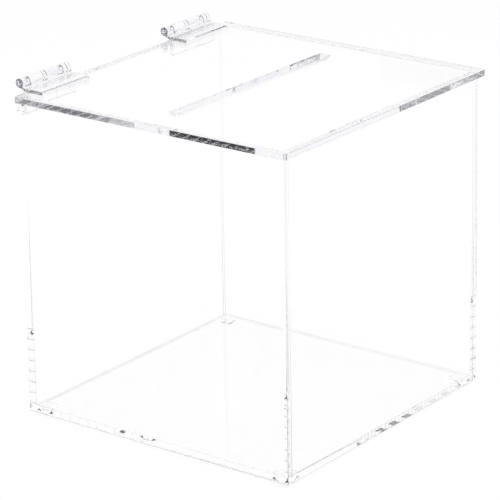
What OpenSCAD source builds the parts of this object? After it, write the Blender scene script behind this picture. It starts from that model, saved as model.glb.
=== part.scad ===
// Clear ballot box of butted acrylic sheet, with a slotted lid on two moulded hinges.
// Millimetres. The origin is the middle of the overall footprint, on the surface that the feet stand on.
// +X is to the right of the front wall, +Y to the rear, where the hinges are, and +Z up.

/* [Sheet] */
// Thickness of the clear sheet that all six panels are cut from
sheet_t = 5.6; // [4:0.1:8]
// Chamfer that breaks the sharp outer edges of the lid and the side walls
edge_break = 0.2; // [0.1:0.05:1]

/* [Box] */
// Width over the outside of the side walls
box_w = 296; // [250:1:400]
// Depth over the outside of the front and rear walls
box_d = 294; // [150:1:400]
// Height of the walls
wall_h = 295.5; // [120:0.5:400]

/* [Lid] */
// How far the lid reaches past the front wall
lid_front_overhang = 5; // [1:0.5:12]
// How far the lid reaches past each side wall
lid_side_overhang = 4.5; // [1:0.5:12]
// Radius of the lid's four corners, seen from above
lid_corner_r = 3; // [1:0.5:12]
// Gap that the hinges leave between the closed lid and the walls
lid_rest_gap = 0.1; // [0.05:0.05:0.5]
// Gap between the lid's rear edge and the hinge leaves that pass behind it
lid_rear_gap = 0.3; // [0.2:0.05:1]

/* [Ballot slot] */
// Length of the slot over its round ends
slot_l = 224; // [100:1:250]
// Width of the slot
slot_w = 12; // [6:0.5:20]
// Distance from the middle of the lid to the middle of the slot, towards the hinges
slot_shift = 0; // [-60:1:60]

/* [Hinges] */
// Length of a hinge along its pin
hinge_l = 65; // [50:1:90]
// Distance from the lid's side edge to the end of a hinge
hinge_inset = 17; // [5:0.5:40]
// Length of a leaf from the pin's axis to its far edge
leaf_l = 26.6; // [18:0.2:40]
// Thickness of a leaf
leaf_t = 3; // [2.4:0.1:4]
// Bevel along the far edge of a leaf
leaf_bevel = 1; // [0.4:0.1:1.6]
// Outer diameter of the knuckles
knuckle_d = 8; // [7:0.2:10]
// Length of the short knuckle at each end of a hinge
end_knuckle_l = 10; // [6:0.5:16]
// Gap between neighbouring knuckles
knuckle_gap = 0.3; // [0.2:0.05:0.6]
// Radius of the fillet between a knuckle and its leaf
knuckle_fillet = 2.5; // [1.5:0.1:3]

/* [Hinge pins] */
// Diameter of the pin
pin_d = 3; // [2:0.1:4]
// Radial running clearance between the pin and the lid leaf's knuckles
pin_clearance = 0.05; // [0.02:0.01:0.1]
// Depth of the pin's ends below the ends of the hinge
pin_recess = 1; // [0.2:0.1:2]

/* [Feet] */
// Diameter of a foot where it is stuck on
foot_d = 19; // [12:0.5:25]
// Height of a foot
foot_h = 4; // [2.5:0.1:8]
// Height of the straight rim above the dome of a foot
foot_rim_h = 0.8; // [0.4:0.1:1.5]
// Diameter of the worn flat that a foot stands on
foot_flat_d = 8; // [4:0.5:11]
// Distance from the outside of the walls to the centre of a foot
foot_inset = 13; // [10:0.5:30]

/* [Hidden] */
$fn = 96;

knuckle_r = knuckle_d / 2;
pin_r = pin_d / 2;
// The pin's axis stands this far off the lid's top and off the rear wall: a knuckle sits on its leaf
axis_offset = leaf_t + knuckle_r;

lid_w = box_w + 2 * lid_side_overhang;
lid_d = lid_front_overhang + box_d - lid_rear_gap;
lid_rear_reach = axis_offset + knuckle_r;
overall_d = lid_front_overhang + box_d + lid_rear_reach;
front_wall_y = -overall_d / 2 + lid_front_overhang;
rear_wall_y = front_wall_y + box_d;
lid_front_y = front_wall_y - lid_front_overhang;
lid_underside_z = foot_h + wall_h + lid_rest_gap;
lid_top_z = lid_underside_z + sheet_t;

hinge_axis_y = rear_wall_y + axis_offset;
hinge_axis_z = lid_top_z + axis_offset;
hinge_x = lid_w / 2 - hinge_inset - hinge_l / 2;
// A leaf's plate starts this far from the pin's axis, just clear of the other leaf
leaf_start = axis_offset + lid_rear_gap;
// A neck's lower side ends at this share of the knuckle's radius, so that the two overlap a little
neck_reach = 0.98;

clear_sheet = [0.88, 0.93, 0.96, 0.35];
clear_moulding = [0.82, 0.86, 0.9, 0.5];
clear_rubber = [0.85, 0.87, 0.88, 0.6];

// Walls

// Outline of a side wall seen from above, with its two outer corners broken; x runs outwards
module side_wall_outline() {
    polygon([
        [0, 0], [0, box_d], [sheet_t - edge_break, box_d], [sheet_t, box_d - edge_break],
        [sheet_t, edge_break], [sheet_t - edge_break, 0]
    ]);
}

// The side walls run the full depth, and the other walls stand between them
module side_wall() {
    translate([box_w / 2 - sheet_t, front_wall_y, foot_h])
        linear_extrude(wall_h) side_wall_outline();
}

module left_panel() {
    color(clear_sheet) mirror([1, 0, 0]) side_wall();
}

module right_panel() {
    color(clear_sheet) side_wall();
}

module cross_wall(y) {
    inner_w = box_w - 2 * sheet_t;
    translate([-inner_w / 2, y, foot_h]) cube([inner_w, sheet_t, wall_h]);
}

module front_panel() {
    color(clear_sheet) cross_wall(front_wall_y);
}

module rear_panel() {
    color(clear_sheet) cross_wall(rear_wall_y - sheet_t);
}

// The bottom lies inside the four walls, flush with their lower edges
module bottom_panel() {
    inner_w = box_w - 2 * sheet_t;
    inner_d = box_d - 2 * sheet_t;
    color(clear_sheet) translate([-inner_w / 2, front_wall_y + sheet_t, foot_h])
        cube([inner_w, inner_d, sheet_t]);
}

// Lid

// Half of the sheet's section, from its middle plane to its edge, both corners of the edge broken
module edge_section(reach) {
    b = edge_break;
    polygon([[0, 0], [reach - b, 0], [reach, b], [reach, sheet_t - b], [reach - b, sheet_t], [0, sheet_t]]);
}

// Strip of sheet from the origin along X, with its two long edges broken
module broken_strip(length, width) {
    rotate([90, 0, 90]) linear_extrude(length) {
        edge_section(width / 2);
        mirror([1, 0]) edge_section(width / 2);
    }
}

// Sheet with round corners and all its edges broken: two strips that cross, and a turned disc in
// each corner
module round_cornered_sheet(w, d, r) {
    translate([r - w / 2, 0, 0]) broken_strip(w - 2 * r, d);
    translate([0, r - d / 2, 0]) rotate(90) broken_strip(d - 2 * r, w);
    for (x = [-1, 1], y = [-1, 1])
        translate([x * (w / 2 - r), y * (d / 2 - r), 0]) rotate_extrude() edge_section(r);
}

// Slot outline with a full round at each end
module slot_outline() {
    straight = slot_l - slot_w;
    square([straight, slot_w], center = true);
    for (side = [-1, 1]) translate([side * straight / 2, 0]) circle(d = slot_w);
}

module lid_panel() {
    color(clear_sheet) translate([0, lid_front_y + lid_d / 2, lid_underside_z]) difference() {
        round_cornered_sheet(lid_w, lid_d, lid_corner_r);
        translate([0, slot_shift, -1]) linear_extrude(sheet_t + 2) slot_outline();
    }
}

// Hinges. A leaf is drawn round its own pin: the pin lies along X, the plate reaches towards -Y,
// and its glued face looks down at -axis_offset.

// Plate of a leaf, seen along the pin
module leaf_outline() {
    polygon([
        [-leaf_start, -axis_offset], [-leaf_l, -axis_offset],
        [-leaf_l, -knuckle_r - leaf_bevel], [-leaf_l + leaf_bevel, -knuckle_r],
        [-leaf_start, -knuckle_r]
    ]);
}

// Knuckle with the neck that carries it, seen along the pin. The neck's lower side runs into the
// knuckle nearly as a tangent, and its upper side meets it in a fillet.
module knuckle_outline() {
    corner_reach = norm([leaf_start, axis_offset]);
    tangent_turn = acos(knuckle_r / corner_reach) + atan2(-axis_offset, -leaf_start);
    neck_end = neck_reach * knuckle_r * [cos(tangent_turn), sin(tangent_turn)];
    fillet_centre = [-2 * sqrt(knuckle_r * knuckle_fillet), knuckle_fillet - knuckle_r];
    fillet_end = fillet_centre * knuckle_r / (knuckle_r + knuckle_fillet);
    circle(knuckle_r);
    difference() {
        polygon([
            [-leaf_start, -axis_offset], neck_end, [0, 0], fillet_end,
            [fillet_centre[0], -knuckle_r], [-leaf_start, -knuckle_r]
        ]);
        translate(fillet_centre) circle(knuckle_fillet);
    }
}

// One leaf. Its knuckles are the first and third of four: a short one at the end, then a long one
// past the middle. Turned over, the same leaf fills the other two places.
module leaf(bore_r) {
    start = -hinge_l / 2;
    knuckles = [[start, start + end_knuckle_l], [0, -start - end_knuckle_l]];
    difference() {
        union() {
            translate([start, 0, 0]) along_pin(hinge_l) leaf_outline();
            for (k = knuckles) {
                from = k[0] == start ? start : k[0] + knuckle_gap / 2;
                to = k[1] - knuckle_gap / 2;
                translate([from, 0, 0]) along_pin(to - from) knuckle_outline();
            }
        }
        translate([start - 1, 0, 0]) along_pin(hinge_l + 2) circle(bore_r);
    }
}

// Extrudes a section, drawn as Y and Z, along X
module along_pin(length) {
    rotate([90, 0, 90]) linear_extrude(length) children();
}

module at_hinge(side) {
    translate([side * hinge_x, hinge_axis_y, hinge_axis_z]) children();
}

// The lid leaf runs on the pin
module lid_leaf(side) {
    color(clear_moulding) at_hinge(side) leaf(pin_r + pin_clearance);
}

// The box leaf is the same leaf turned over about the diagonal, pressed on the pin
module box_leaf(side) {
    color(clear_moulding) at_hinge(side) rotate(180, [0, 1, 1]) leaf(pin_r);
}

module pin(side) {
    pin_l = hinge_l - 2 * pin_recess;
    color(clear_moulding) at_hinge(side) translate([-pin_l / 2, 0, 0]) rotate([0, 90, 0])
        cylinder(r = pin_r, h = pin_l);
}

module left_hinge_lid_leaf() {
    lid_leaf(-1);
}

module left_hinge_box_leaf() {
    box_leaf(-1);
}

module left_hinge_pin() {
    pin(-1);
}

module right_hinge_lid_leaf() {
    lid_leaf(1);
}

module right_hinge_box_leaf() {
    box_leaf(1);
}

module right_hinge_pin() {
    pin(1);
}

// Feet

// Dome that hangs below its stuck-on rim: a cylinder within a ball that meets the rim and the flat
module foot(x_side, y_wall, y_inwards) {
    dome_h = foot_h - foot_rim_h;
    ball_z = (pow(foot_d / 2, 2) - pow(foot_flat_d / 2, 2) + pow(dome_h, 2)) / (2 * dome_h);
    ball_r = norm([foot_flat_d / 2, ball_z]);
    color(clear_rubber)
        translate([x_side * (box_w / 2 - foot_inset), y_wall + y_inwards * foot_inset, 0])
        intersection() {
            cylinder(d = foot_d, h = foot_h);
            translate([0, 0, ball_z]) sphere(ball_r);
        }
}

module front_left_foot() {
    foot(-1, front_wall_y, 1);
}

module front_right_foot() {
    foot(1, front_wall_y, 1);
}

module rear_left_foot() {
    foot(-1, rear_wall_y, -1);
}

module rear_right_foot() {
    foot(1, rear_wall_y, -1);
}

left_panel();
right_panel();
front_panel();
rear_panel();
bottom_panel();
lid_panel();
left_hinge_lid_leaf();
left_hinge_box_leaf();
left_hinge_pin();
right_hinge_lid_leaf();
right_hinge_box_leaf();
right_hinge_pin();
front_left_foot();
front_right_foot();
rear_left_foot();
rear_right_foot();
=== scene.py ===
"""A clear acrylic ballot box with a hinged, slotted lid, dressed for the photograph's view."""

import functools
import math

import bpy
from mathutils import Matrix, Vector


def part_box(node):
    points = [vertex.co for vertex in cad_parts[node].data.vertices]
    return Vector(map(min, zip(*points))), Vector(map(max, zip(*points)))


MM = 0.001
WHITE = (1.0, 1.0, 1.0, 1.0)
HINGE_SIDES = ("left", "right")

# Camera, found by fitting the lid's corners and the box's edges
AZIMUTH = math.radians(-52.661)
ELEVATION = math.radians(19.613)
ROLL = math.radians(-0.987)
FOCAL_PIXELS = 2942.3
PICTURE_PIXELS = 500
SENSOR_MM = 36.0
AIM_RIGHT_MM = 2.37
AIM_UP_MM = -137.15
DISTANCE_MM = 2730.8

# Sizes, as in the part's source
SLOT_HALF_L = 112.0 * MM
SLOT_HALF_W = 6.0 * MM
SLOT_MIDDLE_Y = -5.65 * MM
WALL_TOP = 299.5 * MM
END_KNUCKLE_START = 22.5 * MM
KNUCKLES_END = 32.5 * MM
KNUCKLE_RADIUS = 4.0 * MM

# How far a mask reaches over a cut edge, a bonded face, a pin's surface or a knuckle's end
EDGE_MARGIN = 0.25 * MM
BOND_MARGIN = 0.05 * MM
PIN_MARGIN = 0.04 * MM
# Width of the painted shade rings at the knuckles' ends, and the share of that shade on the leaves'
# ends
PAINTED_RING_WIDTH = 0.45 * MM
PAINTED_LEAF_END_SHARE = 0.3

# Clear plastics
ACRYLIC_IOR = 1.49
URETHANE_IOR = 1.5
SOFT_GLARE = (0.4, 0.4, 0.4, 1.0)
SHEET_SHADOW = (0.97, 0.975, 0.985, 1.0)
MOULDING_SHADOW = (0.9, 0.91, 0.93, 1.0)
FINE_DETAIL = 3.0
FINE_ROUGHNESS = 0.6

# Sheet: its faces, its sawn edges and the broken corners between them
FACE = (0.999, 0.999, 1.0, 1.0)
WORN_FACE = (0.93, 0.93, 0.94, 1.0)
# Grey on the sawn edges is painted shade, for light's long path along the sheet
SAWN_EDGE_PAINTED_SHADE = (0.92, 0.925, 0.95, 1.0)
# Painted shade on the walls' broken corners, darker lower down
PAINTED_SHADE_ARRIS = (0.06, 0.06, 0.075, 1.0)
PAINTED_ARRIS_SHADE_BY_HEIGHT = ((0.1, 1.0), (0.65, 0.25))
ARRIS_ROUGHNESS = 0.3
LID_EDGE_ROUGHNESS = 0.02
WALL_EDGE_ROUGHNESS = 0.01
SAW_MARK_SCALE = 180.0
SAW_MARK_STRETCH = (1.0, 1.0, 2.0)
SAW_MARK_DEPTH = 2.0 * MM
SAW_MARK_SHARES = ((0.35, 0.3), (0.7, 1.7))
SPECK_SCALE = 900.0
SPECK_STOPS = ((0.68, 0.0), (0.74, 1.0))
HAIRLINE_SCALE = 14.0
HAIRLINE_STRETCH = (1.0, 9.0, 5.0)
HAIRLINE_STOPS = ((0.497, 0.0), (0.5, 1.0), (0.503, 0.0))
HAIRLINE_SHARE = 0.5

# Moulded hinges
MOULDING = (0.965, 0.968, 0.98, 1.0)
# Painted shade: a dark rim on faces seen at a glancing angle, and dark rings at the knuckles' ends
PAINTED_SHADE_RIM = (0.06, 0.06, 0.08, 1.0)
PAINTED_RIM_BLEND = 0.5
PAINTED_RIM_STOPS = ((0.72, 0.0), (0.95, 1.0))
FLOW_SCALE = 260.0
FLOW_STRETCH = (0.3, 1.0, 1.0)
FLOW_DEPTH = 0.03 * MM
FLOW_HAZE = ((0.45, 0.0), (0.75, 0.04))

# Rubber feet
RUBBER = (0.97, 0.97, 0.975, 1.0)
DULL_RUBBER = (0.92, 0.93, 0.94, 1.0)
RUBBER_GRAIN_SCALE = 900.0
RUBBER_GRAIN_DEPTH = 0.04 * MM
RUBBER_HAZE = ((0.35, 0.03), (0.7, 0.14))

# Floor, backdrop and lamps
FLOOR_SIZE = 14.0
FLOOR_GAP = 0.05 * MM
FLOOR_GREY = (0.92, 0.92, 0.92, 1.0)
FLOOR_SEEN_STRENGTH = 1.02
FLOOR_SEEN_SHARE = 0.8
WORLD_STRENGTH = 0.75
BACKDROP_STRENGTH = 1.0
LAMP_AIM = (0.0, 0.0, 0.1)
MOST_BOUNCES = 96
MOST_MIRRORINGS = 80

# Cards beside the box, with greys set until the lid's edges had the tones of the photograph.
# Each has a name, its middle in x and y, the way its width runs, its width, its lower and upper
# edge, and its greys from one side to the other.
# The cards glow with these greys and paint the dark and white reflections seen in the clear parts'
# edges
NAVY = (0.004, 0.005, 0.012, 1.0)
MID_GREY = (0.165, 0.165, 0.185, 1.0)
BACK_GREY = (0.3, 0.3, 0.32, 1.0)
RIGHT_REFLECTION_GREYS = (
    (0.425, NAVY),
    (0.43, 1.0),
    (0.446, 1.0),
    (0.452, 0.33),
    (0.57, MID_GREY),
    (0.8, MID_GREY),
    (0.95, 0.5),
)
BACK_REFLECTION_GREYS = ((0.0, BACK_GREY),)
ALONG_Y = (0.0, 1.0, 0.0)
ACROSS_MIRRORED_VIEW = (0.606, 0.795, 0.0)
CARDS = (
    ("Right flag", (0.272, -0.097), ALONG_Y, 0.28, 0.235, 0.375, RIGHT_REFLECTION_GREYS),
    ("Left flag", (-0.333, 0.223), ACROSS_MIRRORED_VIEW, 0.4, 0.16, 0.6, BACK_REFLECTION_GREYS),
    ("Back flag", (-0.091, 0.541), ACROSS_MIRRORED_VIEW, 0.4, 0.3, 0.9, BACK_REFLECTION_GREYS),
)
CARD_FEWEST_MIRRORINGS = 2
CARD_MOST_MIRRORINGS = 21
HALF_A_COUNT = 0.5


class Value:
    """A socket that Python's operators work on by adding Math nodes."""

    def __init__(self, graph, socket):
        self.graph = graph
        self.socket = socket

    def out(self, name):
        return Value(self.graph, self.socket.node.outputs[name])

    def math(self, operation, *operands):
        return self.graph.node("ShaderNodeMath", {"operation": operation}, dict(enumerate(operands)))

    def __add__(self, other):
        return self.math("ADD", self, other)

    def __radd__(self, other):
        return self.math("ADD", other, self)

    def __sub__(self, other):
        return self.math("SUBTRACT", self, other)

    def __rsub__(self, other):
        return self.math("SUBTRACT", other, self)

    def __mul__(self, other):
        return self.math("MULTIPLY", self, other)

    def __rmul__(self, other):
        return self.math("MULTIPLY", other, self)

    def __truediv__(self, other):
        return self.math("DIVIDE", self, other)

    def __rtruediv__(self, other):
        return self.math("DIVIDE", other, self)

    def __gt__(self, other):
        return self.math("GREATER_THAN", self, other)

    def __lt__(self, other):
        return self.math("LESS_THAN", self, other)

    def __abs__(self):
        return self.math("ABSOLUTE", self)

    def root(self):
        return self.math("SQRT", self)

    def highest(self, other):
        return self.math("MAXIMUM", self, other)

    def lowest(self, other):
        return self.math("MINIMUM", self, other)


class Graph:
    """The nodes of one material, or of the world."""

    def __init__(self, tree):
        self.tree = tree
        tree.nodes.clear()

    def node(self, kind, settings=None, inputs=None, output=0):
        made = self.tree.nodes.new(kind)
        for name, value in (settings or {}).items():
            if name == "stops":
                self.place_stops(made.color_ramp, value)
            else:
                setattr(made, name, value)
        for name, value in (inputs or {}).items():
            if isinstance(value, Value):
                self.tree.links.new(value.socket, made.inputs[name])
            else:
                made.inputs[name].default_value = value
        return Value(self, made.outputs[output])

    @staticmethod
    def place_stops(ramp, stops):
        """Gives a ramp these stops alone: a new ramp has two, and a grey stop is one number."""
        while len(ramp.elements) < len(stops):
            ramp.elements.new(0.5)
        while len(ramp.elements) > len(stops):
            ramp.elements.remove(ramp.elements[-1])
        for element, (position, shade) in zip(ramp.elements, stops):
            element.position = position
            element.color = (shade, shade, shade, 1.0) if isinstance(shade, float) else shade

    def place(self):
        return self.node("ShaderNodeTexCoord").out("Object")

    def parts(self, vector):
        apart = self.node("ShaderNodeSeparateXYZ", None, {0: vector})
        return apart.out("X"), apart.out("Y"), apart.out("Z")

    def stretched(self, vector, scale):
        return self.node("ShaderNodeMapping", None, {"Vector": vector, "Scale": scale})

    def noise(self, vector, scale, detail=2.0, roughness=0.5):
        inputs = {"Vector": vector, "Scale": scale, "Detail": detail, "Roughness": roughness}
        return self.node("ShaderNodeTexNoise", None, inputs)

    def ramp(self, factor, *stops):
        return self.node("ShaderNodeValToRGB", {"stops": stops}, {0: factor})

    def mixed_colour(self, factor, first, second):
        """A Mix node, whose colours go in at sockets 6 and 7 and come out at socket 2."""
        inputs = {0: factor, 6: first, 7: second}
        return self.node("ShaderNodeMix", {"data_type": "RGBA"}, inputs, 2)

    def bump(self, height, distance):
        inputs = {"Height": height, "Strength": 1.0, "Distance": distance}
        return self.node("ShaderNodeBump", None, inputs)

    def mixed(self, factor, first, second):
        return self.node("ShaderNodeMixShader", None, {0: factor, 1: first, 2: second})

    def clear(self, tint):
        return self.node("ShaderNodeBsdfTransparent", None, {"Color": tint})

    def glowing(self, kind, colour, strength):
        return self.node(kind, None, {"Color": colour, "Strength": strength})

    def mirrorings(self):
        return self.node("ShaderNodeLightPath").out("Glossy Depth")

    def lets_light_through(self, shader, tint):
        """Light goes straight on through a clear piece to what it shades, with a little lost."""
        shadow_ray = self.node("ShaderNodeLightPath").out("Is Shadow Ray")
        return self.mixed(shadow_ray, shader, self.clear(tint))

    def surface(self, shader, end_kind="ShaderNodeOutputMaterial"):
        end = self.tree.nodes.new(end_kind)
        self.tree.links.new(shader.socket, end.inputs["Surface"])


def material_graph(name):
    material = bpy.data.materials.new(name)
    material.use_nodes = True
    return material, Graph(material.node_tree)


def any_of(masks):
    return functools.reduce(Value.highest, masks)


def all_of(masks):
    return functools.reduce(Value.lowest, masks)


def clear_plastic(graph, colour, roughness, ior, normal):
    inputs = {
        "Base Color": colour,
        "Roughness": roughness,
        "IOR": ior,
        "Transmission Weight": 1.0,
        "Specular Tint": SOFT_GLARE,
        "Normal": normal,
    }
    return graph.node("ShaderNodeBsdfPrincipled", None, inputs)


def thickness_axis(size):
    return min(range(3), key=lambda axis: size[axis])


def edge_mask(graph, place, low, high, has_slot):
    """1 on a sheet's sawn edges and 0 on its two broad faces."""
    size = high - low
    parts = graph.parts(place)
    at_edges = []
    for axis in range(3):
        if axis == thickness_axis(size):
            continue
        middle = (low[axis] + high[axis]) / 2
        reach = size[axis] / 2 - EDGE_MARGIN
        at_edges.append(abs(parts[axis] - middle) > reach)
    if has_slot:
        in_length = abs(parts[0]) < SLOT_HALF_L + EDGE_MARGIN
        in_width = abs(parts[1] - SLOT_MIDDLE_Y) < SLOT_HALF_W + EDGE_MARGIN
        at_edges.append(in_length.lowest(in_width))
    return any_of(at_edges)


def arris_mask(graph, place, low, high, edge):
    """1 on the broken corners between a sheet's sawn edges and its broad faces."""
    size = high - low
    thin = thickness_axis(size)
    middle = (low[thin] + high[thin]) / 2
    return edge.lowest(abs(graph.parts(place)[thin] - middle) > size[thin] / 2 - EDGE_MARGIN)


def bond_masks(graph, place, neighbours):
    """For each neighbour, 1 where it is stuck on with no air between, so nothing bends light."""
    parts = graph.parts(place)
    masks = []
    for low, high in neighbours:
        inside = []
        for axis in range(3):
            middle = (low[axis] + high[axis]) / 2
            reach = (high[axis] - low[axis]) / 2 + BOND_MARGIN
            inside.append(abs(parts[axis] - middle) < reach)
        masks.append(all_of(inside))
    return masks


def foot_mask(graph, place):
    """1 where a foot is stuck under the box. The four feet stand alike about the box's middle."""
    low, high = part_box("front_right_foot")
    radius = (high[0] - low[0]) / 2
    middle_y = (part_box("front_panel")[0][1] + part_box("rear_panel")[1][1]) / 2
    across, along, up = graph.parts(place)
    off_x = abs(across) - (low[0] + high[0]) / 2
    off_y = abs(along - middle_y) - (middle_y - (low[1] + high[1]) / 2)
    in_disc = off_x * off_x + off_y * off_y < radius * radius
    return in_disc.lowest(up < high[2] + BOND_MARGIN)


def face_wear(graph, place):
    """Dust specks and hairline scratches, which show only close up."""
    specks = graph.ramp(graph.noise(place, SPECK_SCALE), *SPECK_STOPS)
    lines = graph.noise(graph.stretched(place, HAIRLINE_STRETCH), HAIRLINE_SCALE, detail=1.0)
    hairlines = graph.ramp(lines, *HAIRLINE_STOPS)
    return specks.highest(hairlines * HAIRLINE_SHARE)


def bonded(graph, shader, mask):
    return graph.mixed(mask, shader, graph.clear(WHITE))


def sheet_material(name, low, high, neighbours, edge_roughness, is_lid=False):
    """Clear cast sheet with worn faces, and polished saw marks and painted grey shade on its edges.

    The walls' broken corners get painted dark shade, darker lower down. The lid's are matt instead.
    Light that is already mirrored inside the lid doesn't leave it under a hinge leaf.
    """
    material, graph = material_graph(name)
    place = graph.place()
    edge = edge_mask(graph, place, low, high, is_lid)
    arris = arris_mask(graph, place, low, high, edge)
    worn = graph.mixed_colour(face_wear(graph, place), FACE, WORN_FACE)
    # The sawn edges' grey is painted shade, for light's long path along the sheet
    colour = graph.mixed_colour(edge, worn, SAWN_EDGE_PAINTED_SHADE)
    if not is_lid:
        # Painted shade: the walls' broken corners are painted dark, more so lower down
        painted_shade_lower_down = graph.ramp(graph.parts(place)[2] / WALL_TOP, *PAINTED_ARRIS_SHADE_BY_HEIGHT)
        colour = graph.mixed_colour(arris * painted_shade_lower_down, colour, PAINTED_SHADE_ARRIS)
    along_edge = graph.stretched(place, SAW_MARK_STRETCH)
    marks = graph.noise(along_edge, SAW_MARK_SCALE, FINE_DETAIL, FINE_ROUGHNESS)
    stops = [(position, share * edge_roughness) for position, share in SAW_MARK_SHARES]
    roughness = edge * graph.ramp(marks, *stops)
    roughness = roughness.highest(arris * ARRIS_ROUGHNESS) if is_lid else roughness
    saw_marks = graph.bump(marks * edge, edge_roughness * SAW_MARK_DEPTH)
    shader = clear_plastic(graph, colour, roughness, ACRYLIC_IOR, saw_marks)
    masks = bond_masks(graph, place, neighbours)
    if is_lid:
        mask = any_of(masks).lowest(graph.mirrorings() < HALF_A_COUNT)
    else:
        mask = any_of(masks + [foot_mask(graph, place)])
    shader = bonded(graph, shader, mask)
    graph.surface(graph.lets_light_through(shader, SHEET_SHADOW))
    return material


def moulding_material(name, neighbours, pin_middle_x, holds_pin=True):
    """Clear moulded plastic, bonded to its neighbours and, where it holds a pin, to the pin.

    Knuckle ends, leaf ends and faces seen at a glancing angle are painted dark: painted shade for their
    outlines.
    """
    material, graph = material_graph(name)
    place = graph.place()
    # Painted shade: dark by viewing angle through Layer Weight, and dark rings at knuckle and leaf ends
    turned_away = graph.node("ShaderNodeLayerWeight", None, {"Blend": PAINTED_RIM_BLEND}).out("Facing")
    painted_rim = graph.ramp(turned_away, *PAINTED_RIM_STOPS)
    off_axis, along = from_pin(graph, place, pin_middle_x)
    painted_rim = painted_rim.highest(painted_shade_rings(off_axis, along))
    colour = graph.mixed_colour(painted_rim, MOULDING, PAINTED_SHADE_RIM)
    flow = graph.noise(graph.stretched(place, FLOW_STRETCH), FLOW_SCALE)
    haze = graph.ramp(flow, *FLOW_HAZE)
    shader = clear_plastic(graph, colour, haze, ACRYLIC_IOR, graph.bump(flow, FLOW_DEPTH))
    masks = bond_masks(graph, place, neighbours)
    if holds_pin:
        low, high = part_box("left_hinge_pin")
        at_pin = off_axis < (high[2] - low[2]) / 2 + PIN_MARGIN
        masks.append(at_pin.lowest(in_box_knuckles(along)))
    shader = bonded(graph, shader, any_of(masks))
    graph.surface(graph.lets_light_through(shader, MOULDING_SHADOW))
    return material


def from_pin(graph, place, middle_x):
    """Distance from the line of both hinge pins, and the place along it from one hinge's middle."""
    low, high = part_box("left_hinge_pin")
    across, along, up = graph.parts(place)
    off_y = along - (low[1] + high[1]) / 2
    off_z = up - (low[2] + high[2]) / 2
    return (off_y * off_y + off_z * off_z).root(), across - middle_x


def painted_shade_rings(off_axis, along):
    """1 round the outer edge of every knuckle's two ends, and a part of that on the leaf's two ends:
    where dark shade is painted.
    """
    outside = (off_axis > KNUCKLE_RADIUS - PAINTED_RING_WIDTH).lowest(off_axis < KNUCKLE_RADIUS + PIN_MARGIN)
    knuckle_ends = (0.0, END_KNUCKLE_START, KNUCKLES_END)
    ends = any_of([abs(abs(along) - end) < PAINTED_RING_WIDTH for end in knuckle_ends])
    return outside.lowest(ends).highest((abs(along) > KNUCKLES_END - EDGE_MARGIN) * PAINTED_LEAF_END_SHARE)


def in_box_knuckles(along):
    """1 where the box leaf's two knuckles hold the pin."""
    end = along > END_KNUCKLE_START
    middle = (along < 0.0).lowest(along > -END_KNUCKLE_START)
    return end.highest(middle)


def rubber_material(name):
    """Clear rubber with a fine grain, bonded to the box above it."""
    material, graph = material_graph(name)
    place = graph.place()
    grain = graph.noise(place, RUBBER_GRAIN_SCALE, FINE_DETAIL, FINE_ROUGHNESS)
    colour = graph.mixed_colour(grain, RUBBER, DULL_RUBBER)
    haze = graph.ramp(grain, *RUBBER_HAZE)
    shader = clear_plastic(graph, colour, haze, URETHANE_IOR, graph.bump(grain, RUBBER_GRAIN_DEPTH))
    stuck = graph.parts(place)[2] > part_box("front_right_foot")[1][2] - BOND_MARGIN
    shader = bonded(graph, shader, stuck)
    graph.surface(graph.lets_light_through(shader, MOULDING_SHADOW))
    return material


def dress(name, material):
    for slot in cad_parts[name].material_slots:
        slot.material = material


def place_camera():
    level = math.cos(ELEVATION)
    back = Vector((math.sin(AZIMUTH) * level, -math.cos(AZIMUTH) * level, math.sin(ELEVATION)))
    flat_right = Vector((math.cos(AZIMUTH), math.sin(AZIMUTH), 0.0))
    flat_up = back.cross(flat_right)
    right = math.cos(ROLL) * flat_right + math.sin(ROLL) * flat_up
    up = -math.sin(ROLL) * flat_right + math.cos(ROLL) * flat_up
    where = (DISTANCE_MM * back - AIM_RIGHT_MM * right - AIM_UP_MM * up) * MM
    data = bpy.data.cameras.new("Camera")
    data.sensor_width = SENSOR_MM
    data.lens = FOCAL_PIXELS / PICTURE_PIXELS * SENSOR_MM
    camera = bpy.data.objects.new("Camera", data)
    turn = Matrix((right, up, back)).transposed()
    camera.matrix_world = Matrix.Translation(where) @ turn.to_4x4()
    bpy.context.collection.objects.link(camera)
    bpy.context.scene.camera = camera


def area_light(name, where, size, power):
    data = bpy.data.lights.new(name, "AREA")
    data.size = size
    data.energy = power
    light = bpy.data.objects.new(name, data)
    toward = Vector(LAMP_AIM) - Vector(where)
    turn = toward.to_track_quat("-Z", "Y").to_matrix().to_4x4()
    light.matrix_world = Matrix.Translation(where) @ turn
    bpy.context.collection.objects.link(light)


def seen_ray(graph):
    """1 for what the camera sees, be it straight, mirrored or through clear plastic."""
    path = graph.node("ShaderNodeLightPath")
    seen = path.out("Is Camera Ray").highest(path.out("Is Glossy Ray"))
    return seen.highest(path.out("Is Transmission Ray"))


def build_world():
    world = bpy.data.worlds.new("Studio")
    bpy.context.scene.world = world
    world.use_nodes = True
    graph = Graph(world.node_tree)
    light = graph.glowing("ShaderNodeBackground", WHITE, WORLD_STRENGTH)
    backdrop = graph.glowing("ShaderNodeBackground", WHITE, BACKDROP_STRENGTH)
    graph.surface(graph.mixed(seen_ray(graph), light, backdrop), "ShaderNodeOutputWorld")


def build_floor():
    """A pale floor that is mostly backdrop white where seen, and otherwise keeps the shadow."""
    bpy.ops.mesh.primitive_plane_add(size=FLOOR_SIZE, location=(0.0, 0.0, -FLOOR_GAP))
    floor = bpy.context.object
    floor.name = "Floor"
    material, graph = material_graph("Pale floor")
    lit = graph.node("ShaderNodeBsdfDiffuse", None, {"Color": FLOOR_GREY})
    bright = graph.glowing("ShaderNodeEmission", WHITE, FLOOR_SEEN_STRENGTH)
    graph.surface(graph.mixed(seen_ray(graph) * FLOOR_SEEN_SHARE, lit, bright))
    floor.data.materials.append(material)


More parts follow.
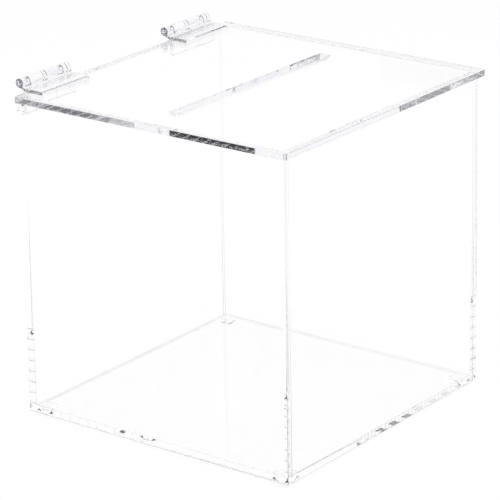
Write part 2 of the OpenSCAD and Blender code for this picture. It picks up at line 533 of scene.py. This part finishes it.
def build_flag(name, middle, across, width, low, high, greys):
    """An upright glowing card, seen only by light that clear plastic has mirrored 2 to 21 times: a
    painted reflection in the clear parts' edges.
    """
    bpy.ops.mesh.primitive_plane_add(size=1.0)
    flag = bpy.context.object
    flag.name = name
    upright = Vector((0.0, 0.0, 1.0))
    side = Vector(across).normalized()
    facing = side.cross(upright)
    turn = Matrix((side, upright, facing)).transposed().to_4x4()
    scale = Matrix.Diagonal((width, high - low, 1.0, 1.0))
    centre = Vector((middle[0], middle[1], (low + high) / 2))
    flag.matrix_world = Matrix.Translation(centre) @ turn @ scale
    material, graph = material_graph(name + " card")
    clear = graph.clear(WHITE)
    shade = graph.ramp(graph.parts(graph.place())[0] + 0.5, *greys)
    # Painted reflection: the card glows with its greys
    card = graph.node("ShaderNodeEmission", None, {"Color": shade})
    mirrorings = graph.mirrorings()
    enough = mirrorings > CARD_FEWEST_MIRRORINGS - HALF_A_COUNT
    not_too_many = mirrorings < CARD_MOST_MIRRORINGS + HALF_A_COUNT
    graph.surface(graph.mixed(enough.lowest(not_too_many), clear, card))
    flag.data.materials.append(material)
    flag.visible_camera = False
    flag.visible_diffuse = False
    flag.visible_shadow = False


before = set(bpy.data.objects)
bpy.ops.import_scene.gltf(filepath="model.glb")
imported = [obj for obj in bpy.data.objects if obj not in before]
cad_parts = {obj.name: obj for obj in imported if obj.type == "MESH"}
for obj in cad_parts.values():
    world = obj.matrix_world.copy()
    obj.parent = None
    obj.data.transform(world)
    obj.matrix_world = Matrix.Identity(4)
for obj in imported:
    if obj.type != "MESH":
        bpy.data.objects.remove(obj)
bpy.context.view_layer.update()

place_camera()
build_world()
build_floor()
area_light("Key", where=(-0.9, -1.2, 1.8), size=1.4, power=14.0)
area_light("Top", where=(0.2, 0.3, 2.2), size=1.6, power=12.0)
for card in CARDS:
    build_flag(*card)

box_panels = ("left_panel", "right_panel", "front_panel", "rear_panel", "bottom_panel")
for panel in box_panels:
    stuck_on = [other for other in box_panels if other != panel]
    if panel == "rear_panel":
        stuck_on += [side + "_hinge_box_leaf" for side in HINGE_SIDES]
    neighbours = [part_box(other) for other in stuck_on]
    material = sheet_material("Clear sheet " + panel, *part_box(panel), neighbours, WALL_EDGE_ROUGHNESS)
    dress(panel, material)

lid_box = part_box("lid_panel")
lid_leaves = [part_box(side + "_hinge_lid_leaf") for side in HINGE_SIDES]
lid_sheet = sheet_material("Clear sheet lid", *lid_box, lid_leaves, LID_EDGE_ROUGHNESS, is_lid=True)
dress("lid_panel", lid_sheet)

rear_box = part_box("rear_panel")
for side in HINGE_SIDES:
    low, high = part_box(side + "_hinge_pin")
    middle_x = (low[0] + high[0]) / 2
    lid_leaf = moulding_material("Clear lid leaf " + side, [lid_box], middle_x, holds_pin=False)
    dress(side + "_hinge_lid_leaf", lid_leaf)
    dress(side + "_hinge_box_leaf", moulding_material("Clear box leaf " + side, [rear_box], middle_x))
    dress(side + "_hinge_pin", moulding_material("Clear pin " + side, [], middle_x))

rubber = rubber_material("Clear rubber")
for foot in ("front_left", "front_right", "rear_left", "rear_right"):
    dress(foot + "_foot", rubber)

scene = bpy.context.scene
scene.view_settings.view_transform = "Standard"
scene.cycles.max_bounces = MOST_BOUNCES
scene.cycles.glossy_bounces = MOST_MIRRORINGS
scene.cycles.transmission_bounces = MOST_BOUNCES
